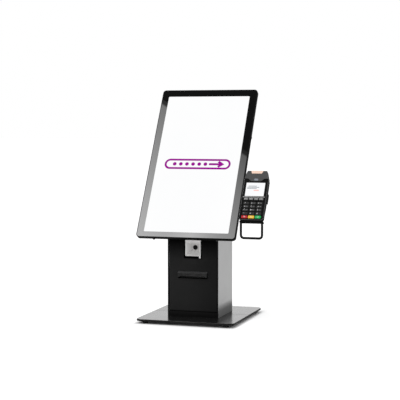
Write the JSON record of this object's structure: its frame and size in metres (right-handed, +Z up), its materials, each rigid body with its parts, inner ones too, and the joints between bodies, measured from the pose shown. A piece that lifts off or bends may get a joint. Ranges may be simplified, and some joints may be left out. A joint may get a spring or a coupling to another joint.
{
  "type": "countertop self-service kiosk",
  "caption": "Tilted portrait touch display on a box pedestal with a scanner, a receipt printer and a payment terminal.",
  "frame": {"origin": "on the counter under the middle of the base", "axes": "+Z up from the counter, -Y out of the front, +X to the right as seen from the front"},
  "size_m": [0.3965, 0.34, 0.7152],
  "materials": {
    "base_paint": "satin black powder coat",
    "foot_rubber": "matt",
    "shell_paint": "satin black powder coat",
    "door_paint": "fine matt black powder coat",
    "zinc_steel": "zinc plated",
    "screw_steel": "zinc plated",
    "funnel_silver": "silver lacquer",
    "window_dark": "dark filter glass",
    "inner_plastic": "moulded",
    "bezel_plastic": "moulded",
    "head_ceramic": "ground",
    "platen_rubber": "ground",
    "paper": "smooth",
    "cover_glass": "gloss, black printed border",
    "edge_frame": "black anodised",
    "lcd_panel": "lit white",
    "rear_plastic": "fine matt black",
    "board_green": "solder resist",
    "edge_button": "moulded",
    "terminal_plastic": "fine texture",
    "cradle_plastic": "fine texture",
    "hoop_paint": "satin black",
    "hood_plastic": "gloss",
    "patch": "gloss",
    "terminal_lcd": "lit",
    "key_dark": "fine texture",
    "key_red": "fine texture",
    "key_yellow": "fine texture",
    "key_green": "fine texture",
    "key_grey": "fine texture"
  },
  "bodies": {
    "stand": {"base_plate": "base_paint", "front_deck": "base_paint", "rear_deck": "base_paint", "base_feet": "foot_rubber", "pedestal_shell": "shell_paint", "pedestal_top": "shell_paint", "head_bracket": "shell_paint", "terminal_arm": "shell_paint", "hinge_pins": "zinc_steel", "printer_shelf": "zinc_steel", "display_chassis": "zinc_steel", "tilt_pin": "zinc_steel", "machine_screws": "screw_steel", "scanner_hood": "funnel_silver", "scanner_window": "window_dark", "scanner_engine": "inner_plastic", "printer_frame": "inner_plastic", "power_supply": "inner_plastic", "power_inlet": "inner_plastic", "print_head": "head_ceramic", "cover_glass": "cover_glass", "display_frame": "edge_frame", "lcd_panel": "lcd_panel", "rear_cover": "rear_plastic", "main_board": "board_green"},
    "door": {"front_door": "door_paint", "printer_bezel": "bezel_plastic"},
    "lid": {"printer_cover": "inner_plastic"},
    "platen": {"platen_roller": "platen_rubber"},
    "paper": {"paper_roll": "paper"},
    "terminal": {"terminal_cradle": "cradle_plastic", "guard_hoop": "hoop_paint", "terminal_base": "terminal_plastic", "terminal_top": "terminal_plastic", "terminal_hood": "hood_plastic", "contactless_patch": "patch", "terminal_display": "terminal_lcd", "terminal_board": "board_green"},
    "power_button_cap": {"power_button": "edge_button"},
    "menu_button_cap": {"menu_button": "edge_button"},
    "side_button_cap": {"side_button": "edge_button"},
    "key_1_cap": {"key_1": "key_dark"},
    "key_2_cap": {"key_2": "key_dark"},
    "key_3_cap": {"key_3": "key_dark"},
    "key_4_cap": {"key_4": "key_dark"},
    "key_5_cap": {"key_5": "key_dark"},
    "key_6_cap": {"key_6": "key_dark"},
    "key_7_cap": {"key_7": "key_dark"},
    "key_8_cap": {"key_8": "key_dark"},
    "key_9_cap": {"key_9": "key_dark"},
    "key_star_cap": {"key_star": "key_dark"},
    "key_0_cap": {"key_0": "key_dark"},
    "key_hash_cap": {"key_hash": "key_dark"},
    "key_cancel_cap": {"key_cancel": "key_red"},
    "key_clear_cap": {"key_clear": "key_yellow"},
    "key_enter_cap": {"key_enter": "key_green"},
    "function_key_1_cap": {"function_key_1": "key_grey"},
    "function_key_2_cap": {"function_key_2": "key_grey"},
    "function_key_3_cap": {"function_key_3": "key_grey"},
    "function_key_4_cap": {"function_key_4": "key_grey"}
  },
  "joints": [
    {"name": "door_hinge", "type": "hinge", "parent": "stand", "child": "door", "pos_m": [-0.0733, -0.0738, 0.141], "axis": [0, 0, -1], "range_deg": [0, 95]},
    {"name": "cover_hinge", "type": "hinge", "parent": "stand", "child": "lid", "pos_m": [0, 0.022, 0.151], "axis": [-1, 0, 0], "range_deg": [0, 45]},
    {"name": "platen_spin", "type": "hinge", "parent": "lid", "child": "platen", "pos_m": [0, -0.052, 0.1435], "axis": [1, 0, 0], "continuous": true},
    {"name": "paper_spin", "type": "hinge", "parent": "stand", "child": "paper", "pos_m": [0, -0.012, 0.115], "axis": [1, 0, 0], "continuous": true},
    {"name": "terminal_tilt", "type": "hinge", "parent": "stand", "child": "terminal", "pos_m": [0.202, -0.07155, 0.37484], "axis": [1, 0, 0], "range_deg": [-15, 15]},
    {"name": "key_1_press", "type": "slide", "parent": "terminal", "child": "key_1_cap", "axis": [0, 0.866, -0.5], "range_m": [0, 0.0012], "stiffness_N_per_m": 800, "springref_m": -0.0004},
    {"name": "key_2_press", "type": "slide", "parent": "terminal", "child": "key_2_cap", "axis": [0, 0.866, -0.5], "range_m": [0, 0.0012], "stiffness_N_per_m": 800, "springref_m": -0.0004},
    {"name": "key_3_press", "type": "slide", "parent": "terminal", "child": "key_3_cap", "axis": [0, 0.866, -0.5], "range_m": [0, 0.0012], "stiffness_N_per_m": 800, "springref_m": -0.0004},
    {"name": "key_4_press", "type": "slide", "parent": "terminal", "child": "key_4_cap", "axis": [0, 0.866, -0.5], "range_m": [0, 0.0012], "stiffness_N_per_m": 800, "springref_m": -0.0004},
    {"name": "key_5_press", "type": "slide", "parent": "terminal", "child": "key_5_cap", "axis": [0, 0.866, -0.5], "range_m": [0, 0.0012], "stiffness_N_per_m": 800, "springref_m": -0.0004},
    {"name": "key_6_press", "type": "slide", "parent": "terminal", "child": "key_6_cap", "axis": [0, 0.866, -0.5], "range_m": [0, 0.0012], "stiffness_N_per_m": 800, "springref_m": -0.0004},
    {"name": "key_7_press", "type": "slide", "parent": "terminal", "child": "key_7_cap", "axis": [0, 0.866, -0.5], "range_m": [0, 0.0012], "stiffness_N_per_m": 800, "springref_m": -0.0004},
    {"name": "key_8_press", "type": "slide", "parent": "terminal", "child": "key_8_cap", "axis": [0, 0.866, -0.5], "range_m": [0, 0.0012], "stiffness_N_per_m": 800, "springref_m": -0.0004},
    {"name": "key_9_press", "type": "slide", "parent": "terminal", "child": "key_9_cap", "axis": [0, 0.866, -0.5], "range_m": [0, 0.0012], "stiffness_N_per_m": 800, "springref_m": -0.0004},
    {"name": "key_star_press", "type": "slide", "parent": "terminal", "child": "key_star_cap", "axis": [0, 0.866, -0.5], "range_m": [0, 0.0012], "stiffness_N_per_m": 800, "springref_m": -0.0004},
    {"name": "key_0_press", "type": "slide", "parent": "terminal", "child": "key_0_cap", "axis": [0, 0.866, -0.5], "range_m": [0, 0.0012], "stiffness_N_per_m": 800, "springref_m": -0.0004},
    {"name": "key_hash_press", "type": "slide", "parent": "terminal", "child": "key_hash_cap", "axis": [0, 0.866, -0.5], "range_m": [0, 0.0012], "stiffness_N_per_m": 800, "springref_m": -0.0004},
    {"name": "key_cancel_press", "type": "slide", "parent": "terminal", "child": "key_cancel_cap", "axis": [0, 0.866, -0.5], "range_m": [0, 0.0012], "stiffness_N_per_m": 800, "springref_m": -0.0004},
    {"name": "key_clear_press", "type": "slide", "parent": "terminal", "child": "key_clear_cap", "axis": [0, 0.866, -0.5], "range_m": [0, 0.0012], "stiffness_N_per_m": 800, "springref_m": -0.0004},
    {"name": "key_enter_press", "type": "slide", "parent": "terminal", "child": "key_enter_cap", "axis": [0, 0.866, -0.5], "range_m": [0, 0.0012], "stiffness_N_per_m": 800, "springref_m": -0.0004},
    {"name": "function_key_1_press", "type": "slide", "parent": "terminal", "child": "function_key_1_cap", "axis": [0, 0.866, -0.5], "range_m": [0, 0.0012], "stiffness_N_per_m": 800, "springref_m": -0.0004},
    {"name": "function_key_2_press", "type": "slide", "parent": "terminal", "child": "function_key_2_cap", "axis": [0, 0.866, -0.5], "range_m": [0, 0.0012], "stiffness_N_per_m": 800, "springref_m": -0.0004},
    {"name": "function_key_3_press", "type": "slide", "parent": "terminal", "child": "function_key_3_cap", "axis": [0, 0.866, -0.5], "range_m": [0, 0.0012], "stiffness_N_per_m": 800, "springref_m": -0.0004},
    {"name": "function_key_4_press", "type": "slide", "parent": "terminal", "child": "function_key_4_cap", "axis": [0, 0.866, -0.5], "range_m": [0, 0.0012], "stiffness_N_per_m": 800, "springref_m": -0.0004},
    {"name": "power_button_press", "type": "slide", "parent": "stand", "child": "power_button_cap", "axis": [0, 0.5, 0.866], "range_m": [0, 0.001], "stiffness_N_per_m": 1200, "springref_m": -0.0004},
    {"name": "menu_button_press", "type": "slide", "parent": "stand", "child": "menu_button_cap", "axis": [0, 0.5, 0.866], "range_m": [0, 0.001], "stiffness_N_per_m": 1200, "springref_m": -0.0004},
    {"name": "side_button_press", "type": "slide", "parent": "stand", "child": "side_button_cap", "axis": [-1, 0, 0], "range_m": [0, 0.001], "stiffness_N_per_m": 1200, "springref_m": -0.0004}
  ]
}
